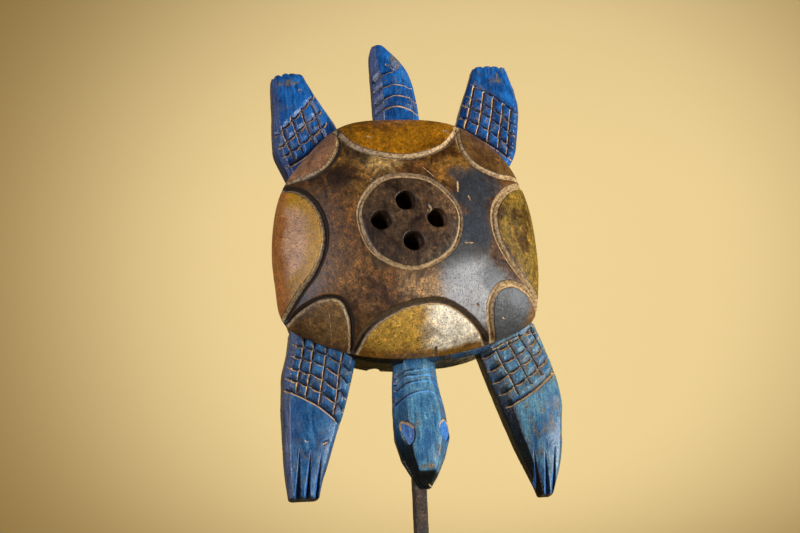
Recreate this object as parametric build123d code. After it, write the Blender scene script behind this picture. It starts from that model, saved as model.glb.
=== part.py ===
"""Carved wooden tortoise shown upright, head down, on a square iron bar with a base plate.

Millimetres.  World frame: origin at the centre of the base plate's underside, on the bar's
axis, +Z up, and the shell faces -Y.  The wooden figure is drawn in its own frame (u to its
right-hand side as seen from the shell, v towards the tail, w out of the shell), which leans
back from upright and is put in place at the end.
"""
from build123d import *
import math
import os

os.makedirs("parts", exist_ok=True)

# ---- stand -------------------------------------------------------------------------
BAR_SIDE = 12.7                 # half-inch square bar
BAR_TOP = 340.0                 # height of the bar's end, inside the body
PLATE_SIDE = 180.0
PLATE_THICK = 10.0
PLATE_CORNER = 4.0
SCREW_SHANK = 8.0
SCREW_HEAD = 16.0
SCREW_HEAD_DEPTH = 4.4
SCREW_LENGTH = 30.0
SCREW_HOLE_CLEARANCE = 0.3      # round the shank, in the plate only

# ---- figure ------------------------------------------------------------------------
LEAN = 12.0                     # degrees that the figure leans back from upright
FIGURE_ORIGIN = (-6.5, 35.0, 370.0)
MORTISE_CLEARANCE = 0.4         # on each side of the bar

BLOCK_THICK = 38.0              # the flat body under the shell, from w = 0
BLOCK_SCALE_TOP = (0.95, 0.98)  # its outline as shares of the shell's rim along u and v
BLOCK_SCALE_BACK = (0.91, 0.965)
RIM_EDGE = 4.0                  # upright band round the shell's rim
SHELL_TOP = 88.0
DOME_CENTRE = (0.0, 4.0)
DOME_POWER = 2.5                # height falls as (1 - s ** DOME_POWER) ** DOME_ROUND
DOME_ROUND = 0.625
DOME_SHARES = (1.0, 0.985, 0.95, 0.89, 0.8, 0.68, 0.52, 0.34, 0.16)

RIM_OUTLINE = (                 # u, v round the rim
    (131, -2), (127, 40), (110, 83), (66, 120), (4, 128), (-54, 119), (-87, 89),
    (-112, 56), (-125, 8), (-126, -38), (-118, -81), (-90, -98), (-52, -113),
    (-10, -118), (46, -112), (90, -97), (119, -80), (129, -44),
)

HOLES = ((-5, 26), (-1, -15), (-30, 6), (24, 8))
HOLE_DIAMETER = 19.0
HOLE_DEPTH = 30.0

# Each limb is a faceted bar: (v, middle u, half width, lowest w, highest w) from root to tip.
LIMBS = {
    "head": (
        (-100, 3, 20, 20, 36), (-114, 3, 20, 20, 36), (-135, 2.5, 21.5, 16, 38),
        (-165, 4, 25, 10, 42), (-188, 5.3, 26, 6, 42), (-208, 4, 20.5, 8, 38),
        (-224, 3.5, 12.5, 12, 33), (-235, 4, 5, 17, 27),
    ),
    "tail": (
        (110, 9, 23, 10, 36), (128, 9, 23, 10, 36), (151, 8.8, 21.8, 10, 38),
        (175, 7.3, 20.2, 11, 37), (187, 5.5, 18.5, 12, 35), (199, 3, 15.6, 13, 33),
        (210, -1, 10.8, 15, 29), (217, -3.5, 4.5, 18, 26),
    ),
    "leg_front_left": (
        (-72, -79, 30, 3, 36), (-100, -83, 32.5, 3, 37), (-120, -88.5, 33.3, 3, 38),
        (-149, -94.2, 30.3, 4, 38), (-187, -101.7, 23.8, 5, 35), (-222, -107.7, 17, 7, 29),
        (-240.5, -109.5, 13.5, 8, 25),
    ),
    "leg_front_right": (
        (-72, 90, 32, 3, 36), (-100, 98.5, 32.5, 3, 37), (-126, 106, 32.5, 3, 38),
        (-156, 112.5, 30.8, 4, 38), (-195, 116.5, 22.8, 5, 35), (-226, 120, 13.6, 7, 29),
        (-245, 120, 6.3, 9, 24),
    ),
    "leg_rear_left": (
        (62, -82, 26, 4, 35), (100, -81.5, 33, 4, 35), (121, -82.5, 32.5, 5, 36),
        (150, -89.5, 24, 7, 35), (173, -95.2, 17.5, 9, 32), (183, -96.5, 14.8, 11, 29),
    ),
    "leg_rear_right": (
        (66, 84, 36, 4, 35), (98, 91.5, 34.5, 4, 35), (124, 99, 32, 5, 36),
        (146, 104.5, 30.2, 6, 36), (168, 107.8, 24.5, 8, 34), (193, 109.5, 16.5, 11, 30),
    ),
}
LIMB_BEVEL = 0.28               # corner facets, as a share of the limb's thickness

# Tenons: (root u, v), (tip u, v) on the middle line, half width, lowest w, highest w
TENONS = {
    "head": ((3, -116), (3, -88), 15, 25, 35),
    "tail": ((4, 128), (4, 92), 13, 14, 30),
    "leg_front_left": ((-88, -106), (-72, -66), 16, 12, 28),
    "leg_front_right": ((97, -104), (76, -64), 16, 12, 28),
    "leg_rear_left": ((-84, 106), (-62, 68), 15, 12, 28),
    "leg_rear_right": ((93, 108), (68, 70), 15, 12, 28),
}
PEG_PLACES = {                  # u, v of the peg that pins each tenon from the back
    "head": (-7, -98), "tail": (4, 105), "leg_front_left": (-78, -79),
    "leg_front_right": (83, -77), "leg_rear_left": (-69, 81), "leg_rear_right": (76, 83),
}
PEG_DIAMETER = 8.0
PEG_LENGTH = 36.0

DOWEL_PLACES = {
    "rear_right": (48, 44), "rear_left": (-48, 44),
    "front_left": (-46, -36), "front_right": (48, -36),
}
DOWEL_DIAMETER = 10.0
DOWEL_FROM = 22.0               # w of the dowel's lower end
DOWEL_TO = 52.0


def dome_height(share):
    """Height w of the shell where the plan is `share` of the way out to the rim."""
    rim_top = BLOCK_THICK + RIM_EDGE
    return rim_top + (SHELL_TOP - rim_top) * (1 - share ** DOME_POWER) ** DOME_ROUND


def plan_section(share_u, share_v, height):
    """The rim's outline shrunk about the dome's centre, as a face at the given height."""
    cu, cv = DOME_CENTRE
    points = [(cu + share_u * (u - cu), cv + share_v * (v - cv), height) for u, v in RIM_OUTLINE]
    return make_face(Spline(points, periodic=True))


def pin(place, diameter, low, high):
    """A round peg along w."""
    u, v = place
    return Pos(u, v, (low + high) / 2) * Cylinder(diameter / 2, high - low)


def limb_blank(stations):
    """Ruled loft through eight-sided sections, like faceted knife work."""
    sections = []
    for v, middle, half, low, high in stations:
        bevel = min(LIMB_BEVEL * (high - low), 0.6 * half)
        corners = [
            (-half, low + bevel), (-half + bevel, low), (half - bevel, low), (half, low + bevel),
            (half, high - bevel), (half - bevel, high), (-half + bevel, high),
            (-half, high - bevel),
        ]
        points = [(middle + du, v, w) for du, w in corners]
        sections.append(make_face(Polyline(*points, close=True)))
    return loft(sections, ruled=True)


def tenon(root, tip, half_width, low, high):
    """A straight rectangular tongue from the limb into the body."""
    length = math.dist(root, tip)
    angle = math.degrees(math.atan2(tip[1] - root[1], tip[0] - root[0]))
    middle = ((root[0] + tip[0]) / 2, (root[1] + tip[1]) / 2, (low + high) / 2)
    return Pos(*middle) * Rot(0, 0, angle) * Box(length, 2 * half_width, high - low)


def make_bar():
    bar = Box(BAR_SIDE, BAR_SIDE, BAR_TOP - PLATE_THICK)
    bar = Pos(0, 0, (BAR_TOP + PLATE_THICK) / 2) * bar
    return bar - Cylinder(SCREW_SHANK / 2, 2 * SCREW_LENGTH)


def make_base_screw():
    head = Pos(0, 0, SCREW_HEAD_DEPTH / 2) * Cone(
        SCREW_HEAD / 2, SCREW_SHANK / 2, SCREW_HEAD_DEPTH)
    shank = Pos(0, 0, SCREW_LENGTH / 2) * Cylinder(SCREW_SHANK / 2, SCREW_LENGTH)
    return head + shank


def make_base_plate(screw):
    outline = extrude(RectangleRounded(PLATE_SIDE, PLATE_SIDE, PLATE_CORNER), PLATE_THICK)
    hole = Cylinder(SCREW_SHANK / 2 + SCREW_HOLE_CLEARANCE, 4 * PLATE_THICK)
    return outline - hole - screw


def make_bar_mortise():
    """The square hole that the bar stands in, in world coordinates."""
    side = BAR_SIDE + 2 * MORTISE_CLEARANCE
    return Pos(0, 0, BAR_TOP / 2) * Box(side, side, BAR_TOP)


def make_carapace(dowels):
    sections = [plan_section(share, share, dome_height(share)) for share in DOME_SHARES]
    shell = loft([plan_section(1, 1, BLOCK_THICK), *sections], ruled=True)
    for u, v in HOLES:
        shell -= pin((u, v), HOLE_DIAMETER, SHELL_TOP - HOLE_DEPTH, SHELL_TOP + 5)
    for dowel in dowels.values():
        shell -= dowel
    return shell


def make_block_blank():
    return loft([plan_section(*BLOCK_SCALE_BACK, 0), plan_section(*BLOCK_SCALE_TOP, BLOCK_THICK)],
                ruled=True)


figure_place = Pos(*FIGURE_ORIGIN) * Rot(90 - LEAN, 0, 0)

pegs = {name: pin(place, PEG_DIAMETER, 0, PEG_LENGTH) for name, place in PEG_PLACES.items()}
dowels = {name: pin(place, DOWEL_DIAMETER, DOWEL_FROM, DOWEL_TO)
          for name, place in DOWEL_PLACES.items()}

block_blank = make_block_blank()
tenons = {name: tenon(*sizes) & block_blank for name, sizes in TENONS.items()}
limbs = {}
for name, stations in LIMBS.items():
    limbs[name] = limb_blank(stations) - block_blank + tenons[name] - pegs[name]

belly_block = block_blank - figure_place.inverse() * make_bar_mortise()
for piece in (*tenons.values(), *pegs.values(), *dowels.values()):
    belly_block -= piece

base_screw = make_base_screw()
nodes = {
    "bar": make_bar(),
    "base_screw": base_screw,
    "base_plate": make_base_plate(base_screw),
    "carapace": figure_place * make_carapace(dowels),
    "belly_block": figure_place * belly_block,
}
for name, limb in limbs.items():
    nodes[name] = figure_place * limb
    nodes[f"peg_{name}"] = figure_place * pegs[name]
for name, dowel in dowels.items():
    nodes[f"shell_dowel_{name}"] = figure_place * dowel

for name, shape in nodes.items():
    export_step(shape, f"parts/{name}.step")
    print(name, len(shape.solids()), round(shape.volume), shape.is_valid)
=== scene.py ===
"""Looks of the carved wooden tortoise on its square iron bar.

The wooden pieces are built in the figure's own frame, in millimetres: u to the right of a
viewer who faces the shell, v towards the tail, w out of the shell.  FIGURE_MATRIX puts them
in the row frame, where the figure leans back on its bar.
"""
import itertools
import math

import bmesh
import bpy
import numpy as np
from mathutils import Matrix, Vector


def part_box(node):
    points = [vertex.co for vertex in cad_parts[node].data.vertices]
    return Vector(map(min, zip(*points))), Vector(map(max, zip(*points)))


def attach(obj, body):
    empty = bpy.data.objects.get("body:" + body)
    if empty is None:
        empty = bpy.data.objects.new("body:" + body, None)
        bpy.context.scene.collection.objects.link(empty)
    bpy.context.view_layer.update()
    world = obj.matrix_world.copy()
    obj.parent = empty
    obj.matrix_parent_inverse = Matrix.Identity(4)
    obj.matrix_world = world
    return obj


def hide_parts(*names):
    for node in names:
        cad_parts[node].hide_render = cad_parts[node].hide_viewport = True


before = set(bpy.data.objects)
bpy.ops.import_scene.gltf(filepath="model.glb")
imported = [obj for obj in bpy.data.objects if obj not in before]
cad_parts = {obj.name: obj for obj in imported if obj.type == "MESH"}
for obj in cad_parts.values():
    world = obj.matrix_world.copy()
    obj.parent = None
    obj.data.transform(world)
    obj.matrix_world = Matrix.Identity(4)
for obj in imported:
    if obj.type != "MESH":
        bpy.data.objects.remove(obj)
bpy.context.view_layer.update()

# ---- where the figure is -----------------------------------------------------------
MM = 0.001
LEAN = math.radians(12.0)
FIGURE_ORIGIN = Vector((-0.0065, 0.035, 0.370))
FIGURE_MATRIX = Matrix.Translation(FIGURE_ORIGIN) @ Matrix.Rotation(math.pi / 2 - LEAN, 4, "X")

# ---- shell and body, mm ------------------------------------------------------------
BLOCK_THICK = 38.0
BLOCK_SCALE_TOP = np.array((0.95, 0.98))      # across and along
BLOCK_SCALE_BACK = np.array((0.91, 0.965))
RIM_EDGE = 4.0
SHELL_TOP = 88.0
DOME_CENTRE = np.array((0.0, 4.0))
DOME_POWER = 2.5
DOME_ROUND = 0.625
RIM_OUTLINE = (
    (131, -2), (127, 40), (110, 83), (66, 120), (4, 128), (-54, 119), (-87, 89),
    (-112, 56), (-125, 8), (-126, -38), (-118, -81), (-90, -98), (-52, -110.5),
    (-8, -114.5), (46, -109), (90, -96), (119, -80), (129, -44),
)
HOLES = ((-5, 26), (-1, -15), (-30, 6), (24, 8))
HOLE_DIAMETER = 19.0
HOLE_DEPTH = 30.0

# ---- stand, mm ---------------------------------------------------------------------
BAR_SIDE = 12.7
BAR_CORNER = 0.9                # worn corners of the bar
BAR_TOP = 340.0                 # height of the bar's end, inside the body
MORTISE_CLEARANCE = 0.4
PLATE_SIDE = 180.0
PLATE_THICK = 10.0
PLATE_CORNER = 4.0
STAND_MATRIX = Matrix.Identity(4)

# ---- cut lines on the shell, mm ----------------------------------------------------
RING_CENTRE = (-2.0, 6.0)
RING_RADII = (48.5, 46.5)
SCUTE_LINES = {
    "tail": ((-60, 114), (-46, 87), (-19, 75), (15, 75), (38, 85), (63, 114)),
    "left": ((-120, 60), (-96, 40), (-84, 14), (-83, -12), (-93, -38), (-107, -56), (-126, -84)),
    "right": ((129, 60), (98, 41), (84, 22), (82, -3), (94, -30), (109, -47), (130, -66)),
    "head": ((-60, -116), (-47, -94), (-27, -81), (-3, -73), (26, -72), (51, -85), (76, -108)),
    "front_left": ((-123, -84), (-104, -71), (-86, -65), (-73, -67), (-64, -81), (-61, -101),
                   (-60, -114)),
    "front_right": ((80, -108), (72, -87), (72, -70), (81, -57), (97, -53), (112, -58),
                    (127, -74)),
    "rear_left": ((-57, 114), (-61, 86), (-75, 67), (-94, 59), (-116, 62)),
    "rear_right": ((60, 116), (59, 83), (69, 67), (90, 58), (122, 62)),
}


CUT_WOBBLE = 0.12               # unevenness of every hand-cut groove, as a share of its size


# ==== shape helpers =================================================================
def lumps(points, size, seed):
    """Smooth random value from -1 to 1 at each point, with bumps about `size` mm apart."""
    table = np.random.default_rng(seed).uniform(-1, 1, 4096)
    cell = np.asarray(points, float) / size
    base = np.floor(cell).astype(np.int64)
    part = cell - base
    part = part * part * (3 - 2 * part)
    keys = np.array((73856093, 19349663, 83492791))[:cell.shape[1]]
    total = np.zeros(len(cell))
    for corner in itertools.product((0, 1), repeat=cell.shape[1]):
        mixed = (base + corner) * keys
        index = np.bitwise_xor.reduce(mixed, axis=1) % 4096
        weight = np.prod(np.where(corner, part, 1 - part), axis=1)
        total += weight * table[index]
    return total


def smoothstep(low, high, value):
    t = np.clip((value - low) / (high - low), 0, 1)
    return t * t * (3 - 2 * t)


def curve(points, samples, closed=False):
    """Evenly spaced points along a smooth curve through the given ones."""
    knots = np.array(points, float)
    if closed:
        knots = np.vstack((knots[-2:], knots, knots[:3]))
    step = np.linalg.norm(np.diff(knots, axis=0), axis=1)
    place = np.concatenate(([0], np.cumsum(step)))
    slope = np.diff(knots, axis=0) / step[:, None]
    tangent = np.empty_like(knots)
    share = (step[1:] / (step[1:] + step[:-1]))[:, None]
    tangent[1:-1] = slope[:-1] * share + slope[1:] * (1 - share)
    tangent[0], tangent[-1] = slope[0], slope[-1]
    first, last = (2, len(knots) - 3) if closed else (0, len(knots) - 1)
    at = np.linspace(place[first], place[last], samples * 4)
    k = np.clip(np.searchsorted(place, at, "right") - 1, 0, len(step) - 1)
    t = ((at - place[k]) / step[k])[:, None]
    width = step[k][:, None]
    dense = ((2 * t ** 3 - 3 * t ** 2 + 1) * knots[k] + (t ** 3 - 2 * t ** 2 + t) * width * tangent[k]
             + (3 * t ** 2 - 2 * t ** 3) * knots[k + 1] + (t ** 3 - t ** 2) * width * tangent[k + 1])
    along = np.concatenate(([0], np.cumsum(np.linalg.norm(np.diff(dense, axis=0), axis=1))))
    even = np.linspace(0, along[-1], samples)
    return np.stack([np.interp(even, along, dense[:, axis]) for axis in range(dense.shape[1])], 1)


def nearest(plan, line):
    """Signed distance of each plan point from a polyline, and how far along it is, 0 to 1."""
    best = np.full(len(plan), 1e9)
    side = np.ones(len(plan))
    along = np.zeros(len(plan))
    count = len(line) - 1
    for k in range(count):
        start, run = line[k], line[k + 1] - line[k]
        offset = plan - start
        t = np.clip(offset @ run / (run @ run), 0, 1)
        gap = offset - t[:, None] * run
        distance = np.hypot(gap[:, 0], gap[:, 1])
        closer = distance < best
        best[closer] = distance[closer]
        along[closer] = (k + t[closer]) / count
        cross = run[0] * offset[:, 1] - run[1] * offset[:, 0]
        side[closer] = np.where(cross[closer] >= 0, 1, -1)
    return best * side, along


def v_cut(plan, line, width, depth, taper=0.0, lean=0.0, seed=0):
    """Depth of a hand-cut V groove at each plan point, and its signed share of the full depth.

    The share is negative on the wall to the right of the line's run.  `lean` moves the
    groove's bottom towards one side, and `taper` is the share of the length over which each
    end runs out.
    """
    distance, along = nearest(plan, line)
    rough = 1 + CUT_WOBBLE * lumps(np.stack((along * 7, np.zeros_like(along)), 1), 1.0, seed)
    ends = np.minimum(along, 1 - along)
    fade = smoothstep(-0.01, taper, ends) if taper > 0 else 1.0
    half = width / 2 * rough * (0.45 + 0.55 * fade)
    reach = distance / half
    down = np.where(reach < lean, (reach + 1) / (1 + lean), (1 - reach) / (1 - lean))
    share = np.clip(down, 0, 1)
    return depth * fade * rough * share, np.where(reach < lean, -share, share)


def fan(ring, centre):
    """Triangles from a closed ring of vertex numbers to one centre vertex."""
    return [(ring[k], ring[(k + 1) % len(ring)], centre) for k in range(len(ring))]


def strip(ring_a, ring_b):
    """Quads between two closed rings of the same length."""
    count = len(ring_a)
    return [(ring_a[k], ring_a[(k + 1) % count], ring_b[(k + 1) % count], ring_b[k])
            for k in range(count)]


def vertex_normals(points, faces):
    """Area-weighted normals for a mix of triangles and quads."""
    normal = np.zeros_like(points)
    for sides in (3, 4):
        some = np.array([f for f in faces if len(f) == sides])
        if len(some) == 0:
            continue
        a, b, c = points[some[:, 0]], points[some[:, 1]], points[some[:, sides - 1]]
        face_normal = np.cross(b - a, c - a)
        for corner, axis in itertools.product(range(sides), range(3)):
            normal[:, axis] += np.bincount(some[:, corner], face_normal[:, axis], len(points))
    return normal / np.maximum(np.linalg.norm(normal, axis=1), 1e-9)[:, None]


def make_object(name, points, faces, matrix=FIGURE_MATRIX):
    """A smooth-shaded object from points in mm."""
    mesh = bpy.data.meshes.new(name)
    mesh.from_pydata((np.asarray(points) * MM).tolist(), [], faces)
    mesh.validate()
    mesh.shade_smooth()
    piece = bpy.data.objects.new(name, mesh)
    bpy.context.scene.collection.objects.link(piece)
    piece.matrix_world = matrix
    return piece


def points_of(piece):
    """The object's vertices in mm, in its own frame."""
    flat = np.empty(len(piece.data.vertices) * 3)
    piece.data.vertices.foreach_get("co", flat)
    return flat.reshape(-1, 3) / MM


def set_values(piece, name, values):
    """Stores one number a vertex, for the materials."""
    layer = piece.data.attributes.new(name, "FLOAT", "POINT")
    layer.data.foreach_set("value", np.asarray(values, np.float32))


def set_colours(piece, name, colours):
    """Stores one linear colour a vertex, for the materials."""
    layer = piece.data.attributes.new(name, "FLOAT_COLOR", "POINT")
    full = np.ones((len(colours), 4), np.float32)
    full[:, :3] = colours
    layer.data.foreach_set("color", full.ravel())


def apply_modifiers(piece):
    """Replaces the object's mesh by the result of its modifiers."""
    graph = bpy.context.evaluated_depsgraph_get()
    result = bpy.data.meshes.new_from_object(piece.evaluated_get(graph))
    old = piece.data
    piece.modifiers.clear()
    piece.data = result
    bpy.data.meshes.remove(old)


def subtract(piece, *cutters):
    """Cuts closed tool objects out of a piece and removes them."""
    for cutter in cutters:
        step = piece.modifiers.new("cut", "BOOLEAN")
        step.operation = "DIFFERENCE"
        step.solver = "EXACT"
        step.object = cutter
    bpy.context.view_layer.update()
    apply_modifiers(piece)
    for cutter in cutters:
        bpy.data.objects.remove(cutter)


def finish_piece(piece, body, slot, *nodes):
    """Rides the piece on its body in place of its CAD nodes."""
    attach(piece, body)
    if nodes:
        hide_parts(*nodes)


# ==== shell =========================================================================
RIM_CURVE = curve(RIM_OUTLINE, 720, closed=True) - DOME_CENTRE
RIM_ANGLE = np.unwrap(np.arctan2(RIM_CURVE[:, 1], RIM_CURVE[:, 0]))
RIM_RADIUS = np.hypot(RIM_CURVE[:, 0], RIM_CURVE[:, 1])


def rim_radius(angle):
    """Distance of the shell's rim from the dome's centre in each direction."""
    wrapped = (angle - RIM_ANGLE[0]) % (2 * math.pi) + RIM_ANGLE[0]
    return np.interp(wrapped, RIM_ANGLE, RIM_RADIUS)


def rim_share(plan):
    """How far out each plan point is: 0 at the dome's centre, 1 at the rim."""
    offset = plan - DOME_CENTRE
    return np.hypot(offset[:, 0], offset[:, 1]) / rim_radius(np.arctan2(offset[:, 1], offset[:, 0]))


def dome_height(share):
    rim_top = BLOCK_THICK + RIM_EDGE
    rise = np.clip(1 - np.clip(share, 0, 1) ** DOME_POWER, 0, 1)
    return rim_top + (SHELL_TOP - rim_top) * rise ** DOME_ROUND


def disc_grid(count, crowd):
    """A square grid laid over the shell's outline, finer at the rim.

    Returns the plan points and the quads.
    """
    side = np.linspace(-1, 1, count)
    x, y = np.meshgrid(side, side)
    across, up = x * np.sqrt(1 - y * y / 2), y * np.sqrt(1 - x * x / 2)
    radius = np.hypot(across, up).ravel()
    angle = np.arctan2(up, across).ravel()
    share = radius * (1 + crowd - crowd * radius ** 2)
    reach = share * rim_radius(angle)
    plan = np.stack((reach * np.cos(angle), reach * np.sin(angle)), 1) + DOME_CENTRE
    number = np.arange(count * count).reshape(count, count)
    quads = np.stack((number[:-1, :-1], number[:-1, 1:], number[1:, 1:], number[1:, :-1]), -1)
    return plan, quads.reshape(-1, 4).tolist()


def refine(plan, faces, near, cuts):
    """Splits the faces whose middle satisfies `near` into a finer grid."""
    mesh = bmesh.new()
    corners = [mesh.verts.new((u, v, 0)) for u, v in plan]
    for face in faces:
        mesh.faces.new([corners[k] for k in face])
    mesh.faces.ensure_lookup_table()
    middles = np.array([face.calc_center_median()[:2] for face in mesh.faces])
    chosen = near(middles)
    edges = {edge for face, yes in zip(mesh.faces, chosen) if yes for edge in face.edges}
    bmesh.ops.subdivide_edges(mesh, edges=list(edges), cuts=cuts, use_grid_fill=True)
    bmesh.ops.triangulate(mesh, faces=[face for face in mesh.faces if len(face.verts) > 4])
    mesh.verts.index_update()
    fine = np.array([vertex.co[:2] for vertex in mesh.verts])
    rim = [vertex.index for vertex in mesh.verts if vertex.is_boundary]
    split = [[vertex.index for vertex in face.verts] for face in mesh.faces]
    mesh.free()
    offset = fine[rim] - DOME_CENTRE
    order = np.argsort(np.arctan2(offset[:, 1], offset[:, 0]))
    return fine, split, [rim[k] for k in order]


def ring_line():
    """The round cut about the shell's holes, a little out of round."""
    turn = np.linspace(0, 2 * math.pi, 160)
    wave = 1 + 0.012 * np.sin(3 * turn + 1) + 0.008 * np.sin(7 * turn)
    return np.stack((RING_CENTRE[0] + RING_RADII[0] * wave * np.cos(turn),
                     RING_CENTRE[1] + RING_RADII[1] * wave * np.sin(turn)), 1)


SHELL_CUTS = {name: curve(line, 70) for name, line in SCUTE_LINES.items()}
# width, depth, lean of the bottom, 1 if the scute is on the right of the line's run, and how
# dark the painted shadow on the wall away from the scute is
GROOVES = {
    "tail": (6.8, 3.8, -0.3, -1, 0.6), "left": (7.6, 5.0, 0.35, 1, 1.0),
    "right": (8.0, 4.0, 0.0, -1, 0.3), "head": (8.0, 4.8, -0.3, 1, 0.85),
    "front_left": (7.0, 4.4, 0.25, 1, 1.0), "front_right": (7.6, 3.6, 0.0, 1, 0.1),
    "rear_left": (6.6, 4.0, 0.2, 1, 0.9), "rear_right": (6.2, 3.4, 0.0, -1, 0.4),
}
RING_WIDTH = 5.6
RING_DEPTH = 3.2
# how dark the painted shadow in the ring's groove is
RING_SHADOW = 0.35


def shell_grooves(plan):
    """Depth of every groove on the shell, its share of the full depth, and how dark its painted shadow
    is.

    The share is negative on the wall that belongs to the scute or the ring's inside.
    """
    depth, share = v_cut(plan, ring_line(), RING_WIDTH, RING_DEPTH, lean=-0.1, seed=3)
    share = -share
    groove_shadow = np.full(len(plan), RING_SHADOW)
    for seed, (name, line) in enumerate(SHELL_CUTS.items()):
        wide, deep, lean, flip, shadow = GROOVES[name]
        cut, part = v_cut(plan, line, wide, deep, taper=0.03, lean=lean, seed=10 + seed)
        share = np.where(cut > depth, part * flip, share)
        groove_shadow = np.where(cut > depth, shadow, groove_shadow)
        depth = np.maximum(depth, cut)
    # painted shadow: full on the wall away from the scute, only near the bottom on the scute's own
    # wall
    bottom = smoothstep(0.78, 0.95, np.abs(share))
    return depth, share, groove_shadow * np.where(share > 0, 1, bottom)


# Scratches and nicks down to raw wood: two ends, width, depth
MARKS = (
    ((48.4, 45.5), (47.5, 36), 2.4, 0.9), ((57.7, 31), (59.3, 27), 2.2, 0.8),
    ((49, -16.6), (56.7, -16.6), 1.3, 0.4), ((15.8, 60.8), (25.5, 50.5), 0.9, 0.3),
    ((-82.3, -77.5), (-78.5, -101.8), 0.8, 0.3), ((84.8, -83), (86, -83.6), 2.2, 0.8),
    ((57.8, -73.8), (58.6, -74.2), 3.0, 1.2), ((-33, 99), (-28, 97), 1.4, 0.5),
    ((45.9, 107.7), (49.7, 105.6), 3.2, 2.4), ((17.6, 20), (19.5, 15.5), 2.8, 1.6),
    ((-35.3, 48.7), (-34.7, 48.2), 2.6, 1.4), ((19.2, -109), (20.5, -117), 3.6, 1.6),
)


def mark_cuts(plan):
    """Depth of the small marks and how much raw wood shows in each."""
    depth, bare = np.zeros(len(plan)), np.zeros(len(plan))
    for start, end, width, deep in MARKS:
        cut, part = v_cut(plan, np.array((start, end), float), width, deep)
        depth, bare = np.maximum(depth, cut), np.maximum(bare, np.abs(part))
    return depth, bare


def make_shell():
    plan, quads = disc_grid(138, 0.35)
    cut_lines = [ring_line()[::4]] + [line[::4] for line in SHELL_CUTS.values()]

    def near(middles):
        close = np.zeros(len(middles), bool)
        for line in cut_lines:
            close |= np.abs(nearest(middles, line)[0]) < 4.6
        for start, end, width, _ in MARKS:
            line = np.array((start, end), float)
            close |= np.abs(nearest(middles, line)[0]) < width / 2 + 1
        return close

    plan, faces, rim = refine(plan, quads, near, 3)
    share = rim_share(plan)
    height = dome_height(share) + 0.5 * lumps(plan, 34, 1) * (1 - share)
    top = np.column_stack((plan, height))
    points, faces = [top], list(faces)
    edge = plan[rim] - DOME_CENTRE
    wave = 0.5 * lumps(plan[rim], 16, 5)
    start = len(plan)
    last = rim
    low = BLOCK_THICK
    for scale, drop in ((1.004, 1.2), (1.004, 2.6), (0.997, 3.6), (0.985, 4.0), (0.93, 4.0)):
        ring = edge * scale + DOME_CENTRE
        w = low + RIM_EDGE - drop + (wave if drop < 3.8 else 0)
        points.append(np.column_stack((ring, np.broadcast_to(np.maximum(w, low), len(ring)))))
        here = list(range(start, start + len(rim)))
        faces += strip(here, last)
        last, start = here, start + len(rim)
    points.append([[*DOME_CENTRE, low]])
    faces += fan(last[::-1], start)
    points = np.vstack(points)
    depth, _, _ = shell_grooves(points[:, :2])
    depth = np.maximum(depth, mark_cuts(points[:, :2])[0])
    on_top = smoothstep(low + 1.5, low + 6, points[:, 2])
    normal = vertex_normals(points, faces)
    points -= normal * (depth * on_top)[:, None]
    shell = make_object("shell", points, faces)
    tools = [hole_tool(place, turn) for turn, place in enumerate(HOLES)]
    subtract(shell, *tools)
    return shell


def hole_tool(place, turn):
    """A round cutter with a small worn chamfer, tipped a little like a hand-drilled hole."""
    radius = HOLE_DIAMETER / 2
    profile = ((0, -HOLE_DEPTH - 3), (radius * 0.5, -HOLE_DEPTH - 1.2), (radius, -HOLE_DEPTH + 1),
               (radius, -1.0), (radius + 0.35, -0.4), (radius + 1.0, 0.35), (radius + 2.6, 2.2),
               (radius + 2.6, 8), (0, 8))
    steps = 72
    angle = np.arange(steps) * 2 * math.pi / steps
    tilt = Matrix.Rotation(math.radians(3), 3, Vector((math.cos(turn * 1.9), math.sin(turn * 1.9), 0)))
    points, faces = [], []
    for r, w in profile[1:-1]:
        out = r + 0.22 * np.sin(2 * angle + turn) + 0.12 * np.sin(5 * angle + 2 * turn)
        points += [(x, y, w) for x, y in zip(out * np.cos(angle), out * np.sin(angle))]
    rings = len(profile) - 2
    for k in range(rings - 1):
        low = list(range(k * steps, (k + 1) * steps))
        faces += strip(low, [n + steps for n in low])
    bottom, top = len(points), len(points) + 1
    points += [(0, 0, profile[0][1]), (0, 0, profile[-1][1])]
    faces += fan(list(range(steps))[::-1], bottom)
    faces += fan(list(range((rings - 1) * steps, rings * steps)), top)
    surface = float(dome_height(rim_share(np.array([place], float)))[0])
    moved = [tilt @ Vector(p) + Vector((*place, surface)) for p in points]
    return make_object("hole_tool", np.array(moved), faces)


shell = make_shell()
finish_piece(shell, "figure", "stained_shell_wood", "carapace")


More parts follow.
